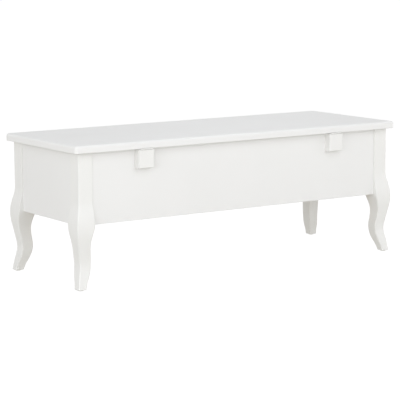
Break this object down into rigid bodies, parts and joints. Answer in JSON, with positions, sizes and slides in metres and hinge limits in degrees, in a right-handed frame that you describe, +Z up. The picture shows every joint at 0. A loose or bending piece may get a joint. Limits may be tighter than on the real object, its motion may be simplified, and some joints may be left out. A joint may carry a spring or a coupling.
{
  "type": "storage bench",
  "caption": "Long low storage bench: a lacquered box on cabriole legs under a hinged overhanging seat lid with soft-down stays.",
  "frame": {"origin": "on the floor under the centre of the bench", "axes": "+X along the length to the sitter's left, +Y to the back where the lid's hinges are, +Z up through the seat"},
  "size_m": [1.1, 0.4022, 0.395],
  "materials": {
    "lacquered_board": "white satin lacquer on MDF, sprayed",
    "lacquered_wood": "white satin lacquer on solid wood, sprayed",
    "floor_board": "white melamine-faced hardboard",
    "cleat_wood": "bare planed pine",
    "dowel_wood": "bare fluted beech",
    "painted_hinge": "white stove enamel",
    "zinc_steel": "zinc plated",
    "cam_zinc": "die-cast zinc, tumbled",
    "damper_plastic": "moulded, fine spark texture",
    "glide_plastic": "moulded nylon",
    "bumper_rubber": "clear soft rubber dots"
  },
  "bodies": {
    "case": {"leg_rear_left": "lacquered_wood", "leg_rear_right": "lacquered_wood", "leg_front_left": "lacquered_wood", "leg_front_right": "lacquered_wood", "back_panel": "lacquered_board", "front_panel": "lacquered_board", "side_panel_left": "lacquered_board", "side_panel_right": "lacquered_board", "floor_panel": "floor_board", "cleat_rear": "cleat_wood", "cleat_front": "cleat_wood", "cleat_left": "cleat_wood", "cleat_right": "cleat_wood", "cleat_screws": "zinc_steel", "floor_screws": "zinc_steel", "cam_bolts": "zinc_steel", "hinge_block_screws": "zinc_steel", "damper_screws": "zinc_steel", "hinge_case_screws": "painted_hinge", "panel_dowels": "dowel_wood", "cam_locks": "cam_zinc", "foot_glides": "glide_plastic", "lid_bumpers": "bumper_rubber", "hinge_block_left": "lacquered_wood", "hinge_case_leaf_left": "painted_hinge", "hinge_pin_left": "painted_hinge", "damper_housing_left": "damper_plastic", "damper_cover_left": "damper_plastic", "hinge_block_right": "lacquered_wood", "hinge_case_leaf_right": "painted_hinge", "hinge_pin_right": "painted_hinge", "damper_housing_right": "damper_plastic", "damper_cover_right": "damper_plastic"},
    "lid": {"lid_board": "lacquered_board", "hinge_lid_screws": "painted_hinge", "stay_bracket_screws": "zinc_steel", "hinge_lid_leaf_left": "painted_hinge", "stay_lid_bracket_left": "zinc_steel", "stay_lid_rivet_left": "zinc_steel", "hinge_lid_leaf_right": "painted_hinge", "stay_lid_bracket_right": "zinc_steel", "stay_lid_rivet_right": "zinc_steel"},
    "stay_lower_left": {"stay_lower_arm_left": "zinc_steel", "damper_rotor_left": "damper_plastic", "stay_arm_screw_left": "zinc_steel", "stay_elbow_rivet_left": "zinc_steel"},
    "stay_upper_left": {"stay_upper_arm_left": "zinc_steel"},
    "stay_lower_right": {"stay_lower_arm_right": "zinc_steel", "damper_rotor_right": "damper_plastic", "stay_arm_screw_right": "zinc_steel", "stay_elbow_rivet_right": "zinc_steel"},
    "stay_upper_right": {"stay_upper_arm_right": "zinc_steel"}
  },
  "joints": [
    {"name": "lid_hinge", "type": "hinge", "parent": "case", "child": "lid", "pos_m": [0, 0.2, 0.3732], "axis": [-1, 0, 0], "range_deg": [0, 95]},
    {"name": "stay_lower_pivot_left", "type": "hinge", "parent": "case", "child": "stay_lower_left", "pos_m": [0, 0.0609, 0.317], "axis": [-1, 0, 0], "range_deg": [0, 95]},
    {"name": "stay_elbow_left", "type": "hinge", "parent": "stay_lower_left", "child": "stay_upper_left", "pos_m": [0, -0.088, 0.29872], "axis": [-1, 0, 0], "range_deg": [-95, 0]},
    {"name": "stay_lower_pivot_right", "type": "hinge", "parent": "case", "child": "stay_lower_right", "pos_m": [0, 0.0609, 0.317], "axis": [-1, 0, 0], "range_deg": [0, 95]},
    {"name": "stay_elbow_right", "type": "hinge", "parent": "stay_lower_right", "child": "stay_upper_right", "pos_m": [0, -0.088, 0.29872], "axis": [-1, 0, 0], "range_deg": [-95, 0]}
  ],
  "couplings": [
    {"joint": "stay_lower_pivot_left", "follows": "lid_hinge", "ratio": 1},
    {"joint": "stay_elbow_left", "follows": "lid_hinge", "ratio": -1},
    {"joint": "stay_lower_pivot_right", "follows": "lid_hinge", "ratio": 1},
    {"joint": "stay_elbow_right", "follows": "lid_hinge", "ratio": -1}
  ]
}
